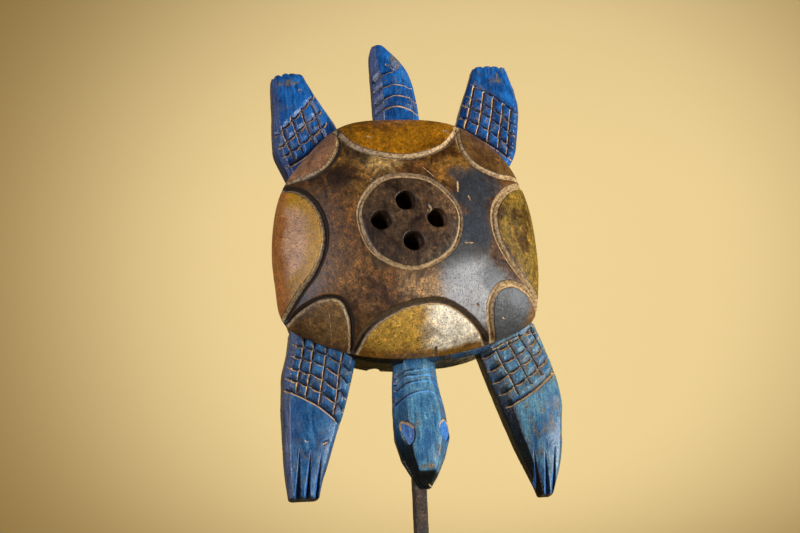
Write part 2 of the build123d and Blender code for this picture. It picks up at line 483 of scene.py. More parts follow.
# ==== limbs =========================================================================
# (v, middle u, half width, lowest w, highest w) from the root inside the body to the tip
LIMBS = {
    "head": (
        (-100, 3, 20, 20, 36), (-114, 3, 20, 20, 36), (-135, 2.5, 21.5, 16, 38),
        (-165, 4, 25, 10, 42), (-188, 5.3, 26, 6, 42), (-208, 4, 20.5, 8, 40),
        (-223, 4, 13, 12, 37), (-229, 4, 9.5, 14, 29), (-235, 4.5, 5, 16, 24),
    ),
    "tail": (
        (106, 9, 23, 10, 36), (128, 9, 23, 10, 36), (151, 8.8, 21.8, 10, 38),
        (175, 7.3, 20.2, 11, 37), (187, 5.5, 18.5, 12, 35), (199, 3, 15.6, 13, 33),
        (210, -1, 10.8, 15, 29), (217, -3.5, 4.5, 18, 26),
    ),
    "leg_front_left": (
        (-82, -81, 31, 3, 36), (-100, -83, 32.5, 3, 37), (-120, -88.5, 33.3, 3, 38),
        (-149, -94.2, 30.3, 4, 38), (-187, -101.7, 23.8, 5, 35), (-222, -107.7, 17, 7, 29),
        (-240.5, -109.5, 13.5, 8, 25),
    ),
    "leg_front_right": (
        (-80, 91.5, 32.5, 3, 36), (-100, 98.5, 32.5, 3, 37), (-126, 106, 32.5, 3, 38),
        (-156, 112.5, 30.8, 4, 38), (-195, 116.5, 22.8, 5, 35), (-226, 120, 13.6, 7, 29),
        (-245, 120, 6.3, 9, 24),
    ),
    "leg_rear_left": (
        (66, -78, 22, 4, 35), (100, -81.5, 33, 4, 35), (121, -82.5, 32.5, 5, 36),
        (150, -89.5, 24, 7, 35), (173, -95.2, 17.5, 9, 32), (183, -96.5, 14.8, 11, 29),
    ),
    "leg_rear_right": (
        (72, 80, 30, 4, 35), (98, 91.5, 34.5, 4, 35), (124, 99, 32, 5, 36),
        (146, 104.5, 30.2, 6, 36), (168, 107.8, 24.5, 8, 34), (193, 109.5, 16.5, 11, 30),
    ),
}
# Corner facets: (share of the half width, share of the thickness) at the top, then below
TOP_FACET = {"head": (0.42, 0.5), "tail": (0.36, 0.3)}
LOW_FACET = {"head": (0.3, 0.3)}
PLAIN_TOP_FACET = (0.16, 0.24)
LEFT_FACET = {"leg_front_right": (0.3, 0.3)}    # where the left top corner differs
PLAIN_LOW_FACET = (0.2, 0.2)
CROWN = {"head": 0.8, "tail": 2.0}              # swell of the top facet
PLAIN_CROWN = 2.6
SOFTNESS = {"head": 3.0}                        # length over which bends along it are rounded
PLAIN_SOFTNESS = 8.0
# Rows of points along a limb: fine steps as far as the given v, then coarse ones
FINE_STEP = 0.55
COARSE_STEP = 1.0
FINE_TO = {"head": -232, "tail": 205, "leg_front_left": -180, "leg_front_right": -172,
           "leg_rear_left": 165, "leg_rear_right": 176}

# Patches of crossed cuts: the first and last cross cut, where all of them lie as shares of the
# way between those two, the long cuts as shares of the first and last cross cut's length, and
# how far the cross cuts bow
GRIDS = {
    "leg_front_left": (((-108, -84), (-53, -111)), ((-123, -140), (-70, -174)),
                       (0, 0.23, 0.41, 0.61, 0.81, 1),
                       ((0.15, 0.2), (0.31, 0.36), (0.52, 0.58), (0.78, 0.83)), -3.0),
    "leg_front_right": (((69, -112), (121, -84)), ((88, -162), (139, -124)),
                        (0, 0.27, 0.5, 0.75, 1),
                        ((0.24, 0.22), (0.48, 0.49), (0.7, 0.73), (0.95, 0.96)), 2.5),
    "leg_rear_left": (((-114, 117), (-74, 158)), ((-105, 83), (-61, 114)),
                      (0, 0.38, 0.7, 1),
                      ((0.15, 0.2), (0.4, 0.4), (0.66, 0.66), (0.9, 0.9)), 1.5),
    "leg_rear_right": (((89, 172), (130, 140)), ((66, 127), (120, 92)),
                       (0, 0.27, 0.5, 0.76, 1),
                       ((0.04, 0.17), (0.26, 0.38), (0.47, 0.58), (0.7, 0.76), (0.88, 0.92)), -1.5),
}
CLAWS = {
    "leg_front_left": (((-113, -197), (-116.5, -243)), ((-103, -199), (-108, -243)),
                       ((-93, -201), (-99.5, -243))),
    "leg_front_right": (((108.5, -206), (112.5, -247)), ((119, -208), (120, -247)),
                        ((129, -203), (125.5, -247))),
}
NICKS = {
    "leg_front_left": (((-107, -190), (-105, -191)), ((-91, -193), (-87, -191))),
    "head": (((7.5, -232.4), (11, -232.8)),),
    "tail": (((1.5, 191.5), (5.8, 188.2)), ((5.8, 188.2), (13, 186.6))),
    "leg_rear_left": (((-88, 162), (-86, 164)),),
    "leg_rear_right": (((96, 129), (98, 131)),),
}
NICK_WIDTH = 2.8
NICK_DEPTH = 1.6
GRID_WIDTH = 6.2
GRID_DEPTH = 3.4
# number of toes, depth of the scallops, rise of the end from left to right
TOES = {"leg_rear_left": (4, 5.0, 5.0), "leg_rear_right": (4, 4.5, -1.5)}
# Cuts across a limb: width, depth, lean and how much raw wood shows, then the lines
RINGS = {
    "tail": (7.0, 2.8, -0.5, 0.8, (
        ((-17, 173), (-7.6, 180.4), (1.7, 184.2), (7, 185.6)),
        ((-17, 161), (-7.7, 166.5), (0.4, 169.6), (11.8, 170.7), (24, 167)),
        ((-17, 148), (-7.7, 153.9), (0, 157), (7.3, 158.8), (16, 157.7), (31, 154.5)),
        ((-17, 138), (-7.4, 143.7), (0.6, 146.2), (10.7, 146.9), (18.4, 145), (32, 141)))),
    "head": (6.4, 1.9, -0.1, 0.0, (
        ((-18, -131), (-9.9, -126.7), (2.5, -124.6), (16.4, -123.5), (24, -126)),
        ((-18, -138), (-12, -132), (2, -130), (20.7, -129.2), (26, -131)),
        ((-19, -145), (-11.3, -139.5), (1.6, -136.1), (19.5, -135.5), (27, -138)),
        ((-22, -158), (-10.9, -151.4), (-2.4, -147.8), (11.5, -145.7), (19.5, -148), (27, -153)))),
    "leg_front_right": (5.0, 2.0, -0.4, 1.0, (((77, -106), (100.3, -95.1), (123, -89.3)),)),
}
# Each eye's outline, and the slope of the flat ledge cut for it, falling away from the middle
EYE_DEPTH = 5.0
EYES = (
    (((-16, -173), (-10, -177), (-5.5, -182), (-5, -188), (-7, -195), (-10, -198), (-14.5, -191),
      (-17, -182)), 0.9),
    (((28, -171), (19, -178), (18, -186), (21, -191), (26, -193), (31, -186), (31, -176)), -0.7),
)
EYES_ABOVE = 19.0               # nothing lower than this belongs to an eye
MOUTH_HEIGHT = 25.0
MOUTH_FROM = -206.0
CLAWS_ABOVE = 16.0
WORN_ABOVE = 20.0


def soft_table(table, rows, soft):
    """The station table read at each row, with its corners softened over `soft` mm."""
    table = np.array(table, float)
    sign = 1 if table[-1, 0] > table[0, 0] else -1
    place = table[:, 0] * sign
    offsets = np.linspace(-1.5, 1.5, 13) * soft
    weights = np.exp(-(offsets / soft) ** 2 * 1.4)
    weights /= weights.sum()
    total = 0
    for offset, weight in zip(offsets, weights):
        at = np.clip(rows * sign + offset, place[0], place[-1])
        total = total + weight * np.stack([np.interp(at, place, table[:, k]) for k in range(1, 5)])
    return total


def row_places(first, last, fine_to):
    """Places along a limb from root to tip: fine steps as far as `fine_to`, then coarse."""
    sign = 1 if last > first else -1
    near = np.arange(0, abs(fine_to - first), FINE_STEP)
    far = np.arange(abs(fine_to - first), abs(last - first) - 1.6, COARSE_STEP)
    return first + sign * np.concatenate((near, far))


def limb_skin(name):
    """Points and faces of a limb's faceted, softly rounded skin before anything is cut in it."""
    table = LIMBS[name]
    first, last = table[0][0], table[-1][0]
    sign = 1 if last > first else -1
    rows = row_places(first, last, FINE_TO[name])
    inset = np.zeros(len(rows))
    rows = np.concatenate((rows, last - sign * np.array((1.4, 0.8, 0.35, 0.0))))
    inset = np.concatenate((inset, (0.1, 0.35, 0.8, 1.5)))
    for share in (0.3, 0.6, 0.85):
        rows = np.append(rows, last)
        inset = np.append(inset, -share)
    middle, half, low, high = soft_table(table, rows, SOFTNESS.get(name, PLAIN_SOFTNESS))
    top_u, top_w = TOP_FACET.get(name, PLAIN_TOP_FACET)
    low_u, low_w = LOW_FACET.get(name, PLAIN_LOW_FACET)
    thick = high - low
    right = [(half, low + low_w * thick), (half, high - top_w * thick),
             (half * (1 - top_u), high)]
    left_u, left_w = LEFT_FACET.get(name, (top_u, top_w))
    left = [(-half * (1 - left_u), high), (-half, high - left_w * thick),
            (-half, low + low_w * thick)]
    base = [(-half * (1 - low_u), low), (half * (1 - low_u), low)]
    corners = right + left + base
    counts = (22, 16, 84, 16, 22, 6, 34, 6)
    ring_u, ring_w = [], []
    for k, count in enumerate(counts):
        (u0, w0), (u1, w1) = corners[k], corners[(k + 1) % 8]
        for step in range(count):
            t = step / count
            bulge = CROWN.get(name, PLAIN_CROWN) * (1 - (2 * t - 1) ** 2) if k == 2 else 0
            ring_u.append(u0 + (u1 - u0) * t)
            ring_w.append(w0 + (w1 - w0) * t + bulge)
    across, up = np.stack(ring_u, 1), np.stack(ring_w, 1)
    for _ in range(3):
        across = (np.roll(across, 1, 1) + 2 * across + np.roll(across, -1, 1)) / 4
        up = (np.roll(up, 1, 1) + 2 * up + np.roll(up, -1, 1)) / 4
    centre = ((low + high) / 2)[:, None]
    scale = np.where(inset >= 0, 1 - inset / half, (1 + inset) * (1 - 1.5 / half))[:, None]
    up_scale = np.where(inset >= 0, 1 - inset / (thick / 2), (1 + inset) * (1 - 3 / thick))[:, None]
    u = middle[:, None] + across * scale
    w = centre + (up - centre) * up_scale
    v = np.broadcast_to(rows[:, None], u.shape)
    points = np.stack((u, v, w), -1).reshape(-1, 3)
    count = u.shape[1]
    faces = []
    for row in range(len(rows) - 1):
        here = list(range(row * count, (row + 1) * count))
        beyond = [n + count for n in here]
        faces += strip(here, beyond) if sign < 0 else strip(beyond, here)
    root, tip = len(points), len(points) + 1
    points = np.vstack((points, [[middle[0], first, centre[0, 0]], [middle[-1], last, centre[-1, 0]]]))
    first_ring, last_ring = list(range(count)), list(range((len(rows) - 1) * count, len(rows) * count))
    faces += fan(first_ring[::sign], root) + fan(last_ring[::-sign], tip)
    return points, faces


def grid_lines(name):
    """The crossed cuts of a patch, as short bowed lines with a hand's unevenness."""
    (a, b), (c, d), cross, long, bow = GRIDS[name]
    a, b, c, d = (np.array(p, float) for p in (a, b, c, d))
    draw = np.random.default_rng(len(name) * 7 + int(abs(a[0])))
    cross_lines, long_lines = [], []
    for share in cross:
        start, end = a + (c - a) * share, b + (d - b) * share
        middle = (start + end) / 2 + (c - a) / np.linalg.norm(c - a) * bow
        jitter = draw.uniform(-0.8, 0.8, (3, 2))
        cross_lines.append(curve(np.stack((start, middle, end)) + jitter, 40))
    for near, far in long:
        start, end = a + (b - a) * near, c + (d - c) * far
        quarter, three = start + (end - start) * 0.3, start + (end - start) * 0.7
        jitter = draw.uniform(-0.7, 0.7, (4, 2))
        long_lines.append(curve(np.stack((start, quarter, three, end)) + jitter, 36))
    return cross_lines, long_lines


def inside(plan, outline):
    """True for the plan points inside a closed outline."""
    odd = np.zeros(len(plan), bool)
    for (u0, v0), (u1, v1) in zip(outline, np.roll(outline, -1, axis=0)):
        spans = (v0 > plan[:, 1]) != (v1 > plan[:, 1])
        crossing = u0 + (plan[:, 1] - v0) * (u1 - u0) / (v1 - v0 + 1e-12)
        odd ^= spans & (plan[:, 0] < crossing)
    return odd


def eye_ledge(points, outline, slope):
    """How far to lower each point so that a tilted flat is left inside the eye's outline."""
    plan = points[:, :2]
    within = inside(plan, outline) & (points[:, 2] > EYES_ABOVE)
    outer = outline[np.argmax(-slope * outline[:, 0])]
    near = np.abs(plan - outer).sum(axis=1) + 100 * (points[:, 2] < EYES_ABOVE)
    start = points[np.argmin(near), 2] - 0.5
    flat = start + slope * (plan[:, 0] - outer[0])
    return np.where(within, np.clip(points[:, 2] - flat, 0, EYE_DEPTH), 0)


def claw_depth(plan, line):
    """Depth of a V cut that grows wider and deeper towards the end of the foot.

    Also the painted shade of each point on its steep wall and the painted highlight on its wide one,
    and how far along the cut it is.
    """
    distance, along = nearest(plan, curve(line, 24))
    half = np.where(distance > 0, 0.5 + 2.0 * along, 0.6 + 3.2 * along)
    cut = (0.8 + 4.6 * along) * np.clip(1 - np.abs(distance) / half, 0, 1)
    return cut, np.where(distance > -0.15 * half, 1.0, -1.0), along


class Carving:
    """The cuts made so far in a limb: their depth and what the materials need to know."""

    def __init__(self, count):
        self.depth = np.zeros(count)
        self.raw = np.zeros(count)
        # painted shade where positive, painted highlight where negative
        self.shade_and_highlight = np.zeros(count)

    def add(self, cut, part, bare, shade_strength=1.0):
        """Adds a groove from `v_cut`: raw wood on its right-hand wall, which faces the light, and
        painted shade on the other.
        """
        lit = smoothstep(0.08, 0.3, -part)
        self.raw = np.where(cut > self.depth, lit * bare, self.raw)
        self.shade_and_highlight = np.where(part > 0, np.maximum(self.shade_and_highlight, part * shade_strength), self.shade_and_highlight)
        self.depth = np.maximum(self.depth, cut)


def carve(name, points, faces):
    """Cuts the limb's grooves.  Returns the cut points, the raw wood and the painted shade and
    highlight at each.
    """
    plan = points[:, :2].copy()
    normal = vertex_normals(points, faces)
    points = points + normal * (0.55 * lumps(points, 23, 31) + 0.25 * lumps(points, 7, 32))[:, None]
    facing = smoothstep(0.02, 0.45, normal[:, 2])
    cuts = Carving(len(points))
    if name in GRIDS:
        cross, long = grid_lines(name)
        apart = np.min([np.abs(nearest(plan, line[::4])[0]) for line in long], axis=0)
        scoop = 0.55 + 0.6 * smoothstep(0.5, 5, apart)
        for seed, line in enumerate(cross + long):
            wide = GRID_WIDTH * scoop if seed < len(cross) else GRID_WIDTH * 0.8
            cuts.add(*v_cut(plan, line, wide, GRID_DEPTH, taper=0.05, lean=-0.5, seed=seed + 40), 1.0)
    if name in RINGS:
        wide, deep, lean, bare, lines = RINGS[name]
        fade = 1 - 0.6 * smoothstep(-10, 16, plan[:, 0]) if name in ("head", "tail") else 1.0
        for seed, line in enumerate(lines):
            cut, part = v_cut(plan, curve(line, 40), wide, deep, taper=0.04, lean=lean, seed=seed + 60)
            cuts.add(cut * fade, part, bare, fade)
            if name == "head":
                # painted highlight on the lower wall of each neck ring
                cuts.shade_and_highlight = np.where(part < -0.25, -0.5, cuts.shade_and_highlight)
    for seed, line in enumerate(NICKS.get(name, ())):
        cuts.add(*v_cut(plan, np.array(line, float), NICK_WIDTH, NICK_DEPTH, seed=seed), 0.7)
    if name == "head":
        for outline, slope in EYES:
            outline = curve(outline, 60, closed=True)
            ledge = eye_ledge(points, outline, slope)
            points[:, 2] -= ledge
            rim = np.abs(nearest(plan, outline)[0]) < 1.2
            # painted highlight on the eye's ledge, painted shadow along its inner wall
            lit = -0.3 - 0.6 * smoothstep(0.5, 3.5, ledge)
            tone = np.where(rim & (ledge > 1.5), 1.0, lit)
            cuts.shade_and_highlight = np.where(ledge > 0.3, tone, cuts.shade_and_highlight)
            above = rim & (ledge > 0) & (plan[:, 1] > -182)
            cuts.raw = np.where(above, 0.8, cuts.raw)
        gap = np.abs(points[:, 2] - MOUTH_HEIGHT - 0.05 * (points[:, 1] - MOUTH_FROM))
        mouth = np.clip(1 - gap / 1.3, 0, 1) * smoothstep(-MOUTH_FROM, 4 - MOUTH_FROM, -points[:, 1])
        facing = np.maximum(facing, mouth > 0)
        # the mouth's slit gets painted shade
        cuts.add(mouth * 1.7, mouth, 0.5)
    points = points - normal * (cuts.depth * facing)[:, None]
    raw, shade_and_highlight = cuts.raw * facing, cuts.shade_and_highlight * facing
    for line in CLAWS.get(name, ()):
        cut, tone, along = claw_depth(plan, np.array(line, float))
        cut_here = (cut > 0) & (points[:, 2] > CLAWS_ABOVE)
        # painted shade on the claw cut's steep wall, painted highlight on its wide wall
        shade_and_highlight = np.where(cut_here, tone, shade_and_highlight)
        raw = np.where(cut_here, 0.5 * smoothstep(0.85, 1.0, along), raw)
        points[:, 2] -= cut * cut_here
    if name in TOES:
        count, height, slope = TOES[name]
        _, middle, half, _, _ = LIMBS[name][-1]
        end = LIMBS[name][-1][0]
        across = (points[:, 0] - middle + half) / (2 * half)
        toe = across * count
        limit = end + slope * (across - 0.5) - height * 0.55 * np.abs((toe % 1) * 2 - 1) ** 2.2
        points[:, 1] = np.minimum(points[:, 1], limit - 0.4 * np.sin(toe * 2))
    return points, raw, shade_and_highlight


# Patches worn to the wood: middle u, v, reach along u, v, strength
WORN = {
    "head": ((4.5, -218, 8, 3, 2.2),),
    "leg_rear_left": ((-97, 171, 11, 5, 1.1),),
    "leg_rear_right": ((112, 178, 9, 7, 0.9), (98, 150, 6, 5, 0.8)),
    "leg_front_right": ((118, -176, 14, 10, 0.7), (106, -192, 9, 12, 0.6)),
    "leg_front_left": ((-90, -238, 5, 8, 1.2),),
    "tail": ((11, 198, 7, 13, 1.5),),
}
# How strong the painted shade on each limb's sides is, 0 to 1
SIDE_SHADES = {"head": 0.85, "tail": 0.6, "leg_front_left": 0.6, "leg_front_right": 1.0,
          "leg_rear_left": 0.6, "leg_rear_right": 0.8}
# How strong the painted sheen on the facet along the left of each limb is
LEFT_SHEENS = {"leg_front_left": 0.9, "leg_rear_left": 0.6, "tail": 0.8}


def make_limb(name):
    skin, faces = limb_skin(name)
    facing = vertex_normals(skin, faces)
    # painted shade on surfaces that face sideways and down, on the front right leg's inner side and
    # the head's left side and snout
    side_shade = SIDE_SHADES[name] * smoothstep(0.5, 0.12, facing[:, 2])
    # painted sheen on the facets that face up and to the left
    left_sheen = smoothstep(-0.35, -0.6, facing[:, 0]) * smoothstep(0.25, 0.45, facing[:, 2])
    left_sheen = left_sheen * LEFT_SHEENS.get(name, 0)
    if name == "leg_front_right":
        away = smoothstep(-0.28, -0.5, facing[:, 0])
        side_shade = np.maximum(side_shade, away * smoothstep(-110, -172, skin[:, 1]))
    if name == "head":
        away = np.maximum(smoothstep(-0.25, -0.6, facing[:, 0]), smoothstep(-0.3, -0.6, facing[:, 1]))
        side_shade = np.maximum(side_shade, away * smoothstep(-150, -205, skin[:, 1]))
    points, raw, shade_and_highlight = carve(name, skin, faces)
    side_shade = np.where(shade_and_highlight < 0, 0, side_shade)
    limb = make_object(name + "_carved", points, faces)
    edge = np.einsum("ij,ij->i", smooth_away(points, faces), vertex_normals(points, faces))
    edge = np.clip(edge / 0.5, -1, 1)
    for u, v, reach_u, reach_v, strength in WORN.get(name, ()):
        near = np.hypot((points[:, 0] - u) / reach_u, (points[:, 1] - v) / reach_v)
        worn = strength * smoothstep(1.2, 0.5, near) * (points[:, 2] > WORN_ABOVE)
        edge = np.clip(edge, -0.5, 0.5) + worn
    set_values(limb, "left_sheen", left_sheen)
    set_values(limb, "raw", raw)
    set_values(limb, "shade_and_highlight", shade_and_highlight)
    set_values(limb, "side_shade", side_shade)
    set_values(limb, "edge", edge)
    return limb


def smooth_away(points, faces):
    """From each point's smoothed place to where it is, which stands out along edges."""
    quads = np.array([f for f in faces if len(f) == 4])
    links = np.vstack([quads[:, [k, (k + 1) % 4]] for k in range(4)])
    count = np.bincount(links.ravel(), minlength=len(points)).astype(float)
    smoothed = points.copy()
    for _ in range(6):
        total = np.zeros_like(points)
        for axis in range(3):
            total[:, axis] += np.bincount(links[:, 0], smoothed[links[:, 1], axis], len(points))
            total[:, axis] += np.bincount(links[:, 1], smoothed[links[:, 0], axis], len(points))
        smoothed = np.where(count[:, None] > 0, total / np.maximum(count, 1)[:, None], smoothed)
    return points - smoothed


limbs = {}
for limb_name in LIMBS:
    limbs[limb_name] = make_limb(limb_name)
    finish_piece(limbs[limb_name], "figure", "blue_painted_wood", limb_name)


# ==== body block ====================================================================
def level(ring, z):
    """A ring of plan points at one height."""
    return np.column_stack((ring, np.full(len(ring), z)))


def ring_stack(rings, top, bottom):
    """A closed skin from equal rings of points, with a middle point at each end."""
    count = len(rings[0])
    points = [*rings, [bottom], [top]]
    faces = fan(list(range(count))[::-1], count * len(rings))
    for k in range(len(rings) - 1):
        here = list(range(k * count, (k + 1) * count))
        faces += strip(here, [n + count for n in here])
    faces += fan(list(range((len(rings) - 1) * count, len(rings) * count)), count * len(rings) + 1)
    return np.vstack(points), faces


def make_block():
    turn = np.linspace(0, 2 * math.pi, 700, endpoint=False)
    rim = rim_radius(turn)[:, None] * np.stack((np.cos(turn), np.sin(turn)), 1)
    profile = [(BLOCK_SCALE_BACK * s, 0.0) for s in np.linspace(0.03, 0.97, 44)]
    profile += [(BLOCK_SCALE_BACK * 0.983, 0.25), (BLOCK_SCALE_BACK * 0.992, 1.0),
                (BLOCK_SCALE_BACK, 2.4)]
    for step in np.linspace(0.09, 1, 26):
        scale = BLOCK_SCALE_BACK + (BLOCK_SCALE_TOP - BLOCK_SCALE_BACK) * step
        profile.append((scale, BLOCK_THICK * step))
    profile += [(BLOCK_SCALE_TOP * s, BLOCK_THICK) for s in (0.8, 0.5, 0.2)]
    rings = []
    for scale, w in profile:
        rings.append(level(rim * scale + DOME_CENTRE, w))
    points, faces = ring_stack(rings, (*DOME_CENTRE, BLOCK_THICK), (*DOME_CENTRE, 0.0))
    normal = vertex_normals(points, faces)
    free = smoothstep(BLOCK_THICK, BLOCK_THICK - 3, points[:, 2])
    adze = 0.7 * lumps(points * (1, 0.5, 1), 17, 71) + 0.35 * lumps(points, 6, 72)
    points -= normal * ((0.4 + adze) * free)[:, None]
    fuller = 6.0 + 3.0 * smoothstep(15, 60, points[:, 0]) * smoothstep(110, 70, points[:, 0])
    points[:, 1] -= fuller * smoothstep(-60, -100, points[:, 1]) * free
    chip = np.hypot(points[:, 0] + 31, points[:, 2] * 0.6)
    chip = smoothstep(7, 4, chip) * smoothstep(-80, -100, points[:, 1])
    points[:, 1] += 3.0 * chip
    block = make_object("body_block", points, faces)
    side = BAR_SIDE / 2 + MORTISE_CLEARANCE
    bpy.ops.mesh.primitive_cube_add(size=2)
    tool = bpy.context.object
    tool.scale = (side * MM, side * MM, BAR_TOP / 2 * MM)
    tool.location = (0, 0, BAR_TOP / 2 * MM)
    tool.name = "mortise_tool"
    subtract(block, tool)
    return block


block = make_block()
finish_piece(block, "figure", "blue_painted_wood", "belly_block")


# ==== stand =========================================================================
def rounded_square(half, corner, count):
    """Evenly turned points round a square with rounded corners."""
    turn = np.linspace(0, 2 * math.pi, count, endpoint=False) + math.pi / 4
    direction = np.stack((np.cos(turn), np.sin(turn)), 1)
    reach = 1 / np.maximum(np.abs(direction[:, 0]), np.abs(direction[:, 1]))
    square = direction * reach[:, None] * (half - corner)
    push = direction / np.maximum(np.abs(direction), 1e-9)
    flat = np.abs(np.abs(square) - (half - corner)) < corner * 0.35
    out = push * flat
    return square + out / np.maximum(np.linalg.norm(out, axis=1), 1e-9)[:, None] * corner


def make_bar():
    _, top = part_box("bar")
    heights = np.arange(PLATE_THICK, top.z / MM + 0.01, 1.1)
    rings = [level(rounded_square(BAR_SIDE / 2, BAR_CORNER, 64), z) for z in heights]
    points, faces = ring_stack(rings, (0, 0, heights[-1]), (0, 0, heights[0]))
    normal = vertex_normals(points, faces)
    pits = 0.16 * lumps(points, 9, 91) + 0.16 * lumps(points, 3.2, 92) + 0.1 * lumps(points, 1.4, 93)
    points += normal * (pits - 0.2)[:, None] * (1, 1, 0)
    return make_object("bar_rusted", points, faces, STAND_MATRIX)


def make_plate():
    half = PLATE_SIDE / 2
    profile = [(s * half, 0.0) for s in np.linspace(0.1, 0.96, 12)]
    profile += [(half - 1.6, 0.0), (half - 0.6, 0.5), (half, 1.6), (half, PLATE_THICK / 2),
                (half, PLATE_THICK - 1.6), (half - 0.6, PLATE_THICK - 0.5),
                (half - 1.6, PLATE_THICK)]
    profile += [(s * half, PLATE_THICK) for s in np.linspace(0.96, 0.04, 46)]
    rings = []
    for reach, z in profile:
        corner = min(PLATE_CORNER, reach * 0.4)
        rings.append(level(rounded_square(reach, corner, 360), z))
    points, faces = ring_stack(rings, (0, 0, PLATE_THICK), (0, 0, 0.0))
    up = smoothstep(1.0, 3.0, points[:, 2])
    normal = vertex_normals(points, faces)
    dents = 0.2 * lumps(points, 24, 95) + 0.1 * lumps(points, 5, 96)
    points += normal * ((dents - 0.25) * up)[:, None]
    return make_object("base_plate_rusted", points, faces, STAND_MATRIX)


bar = make_bar()
finish_piece(bar, "stand", "rusty_iron", "bar")
plate = make_plate()
finish_piece(plate, "stand", "rusty_iron", "base_plate")


# ==== material helpers ==============================================================
class Nodes:
    """A material's node tree, with short names for what the materials use."""

    def __init__(self, name):
        self.material = bpy.data.materials.new(name)
        self.material.use_nodes = True
        self.tree = self.material.node_tree
        self.shader = self.tree.nodes["Principled BSDF"]
        self.place = self.add("ShaderNodeTexCoord").outputs["Object"]

    def add(self, kind, **settings):
        node = self.tree.nodes.new(kind)
        for key, value in settings.items():
            setattr(node, key, value)
        return node

    def put(self, socket, value):
        """Links a node's output to a socket, or sets a plain number or colour on it."""
        if isinstance(value, bpy.types.NodeSocket):
            self.tree.links.new(value, socket)
        elif isinstance(value, tuple) and len(value) == 3 and socket.type == "RGBA":
            socket.default_value = (*value, 1)
        else:
            socket.default_value = value

    def scaled(self, x, y, z):
        """The object's own coordinates in metres, times a factor along each axis."""
        node = self.add("ShaderNodeMapping")
        self.put(node.inputs["Vector"], self.place)
        node.inputs["Scale"].default_value = (x, y, z)
        return node.outputs[0]

    def noise(self, where, scale, detail=4.0, rough=0.55, warp=0.0):
        node = self.add("ShaderNodeTexNoise")
        self.put(node.inputs["Vector"], where)
        for socket, value in (("Scale", scale), ("Detail", detail), ("Roughness", rough),
                              ("Distortion", warp)):
            node.inputs[socket].default_value = value
        return node.outputs["Fac"]

    def cells(self, where, scale):
        node = self.add("ShaderNodeTexVoronoi")
        self.put(node.inputs["Vector"], where)
        node.inputs["Scale"].default_value = scale
        return node.outputs["Distance"]

    def value(self, name):
        return self.add("ShaderNodeAttribute", attribute_name=name).outputs["Fac"]

    def colour(self, name):
        return self.add("ShaderNodeAttribute", attribute_name=name).outputs["Color"]

    def math(self, kind, a, b=0.0, clamp=False):
        node = self.add("ShaderNodeMath", operation=kind, use_clamp=clamp)
        self.put(node.inputs[0], a)
        self.put(node.inputs[1], b)
        return node.outputs[0]

    def ramp(self, value, low, high, to_low=0.0, to_high=1.0):
        """A smooth step of a value between two levels."""
        node = self.add("ShaderNodeMapRange", interpolation_type="SMOOTHSTEP")
        for k, number in enumerate((value, low, high, to_low, to_high)):
            self.put(node.inputs[k], number)
        return node.outputs[0]

    def mix(self, share, first, second, blend="MIX"):
        node = self.add("ShaderNodeMix", data_type="RGBA", blend_type=blend)
        self.put(node.inputs["Factor"], share)
        self.put(node.inputs[6], first)
        self.put(node.inputs[7], second)
        return node.outputs[2]

    def bump(self, height, distance, strength, below=None):
        node = self.add("ShaderNodeBump")
        self.put(node.inputs["Height"], height)
        node.inputs["Distance"].default_value = distance
        node.inputs["Strength"].default_value = strength
        if below is not None:
            self.put(node.inputs["Normal"], below)
        return node.outputs[0]

    def finish(self, colour, rough, normal, **plain):
        self.put(self.shader.inputs["Base Color"], colour)
        self.put(self.shader.inputs["Roughness"], rough)
        self.put(self.shader.inputs["Normal"], normal)
        for name, value in plain.items():
            self.shader.inputs[name.replace("_", " ")].default_value = value
        return self.material


def wear_material(piece, material):
    piece.data.materials.clear()
    piece.data.materials.append(material)


# ==== materials =====================================================================
RAW_PALE = (0.50, 0.35, 0.17)
RAW_BROWN = (0.20, 0.11, 0.05)
# near-black painted shadow for the grooves' shaded walls and lips
GROOVE_SHADOW_BLACK = (0.03, 0.018, 0.01)
LINE_TAN = (0.60, 0.36, 0.14)


def shade(n, share, colour, factor):
    """Multiplies a colour by a factor where `share` is 1."""
    return n.mix(share, colour, n.mix(1.0, colour, factor, "MULTIPLY"))


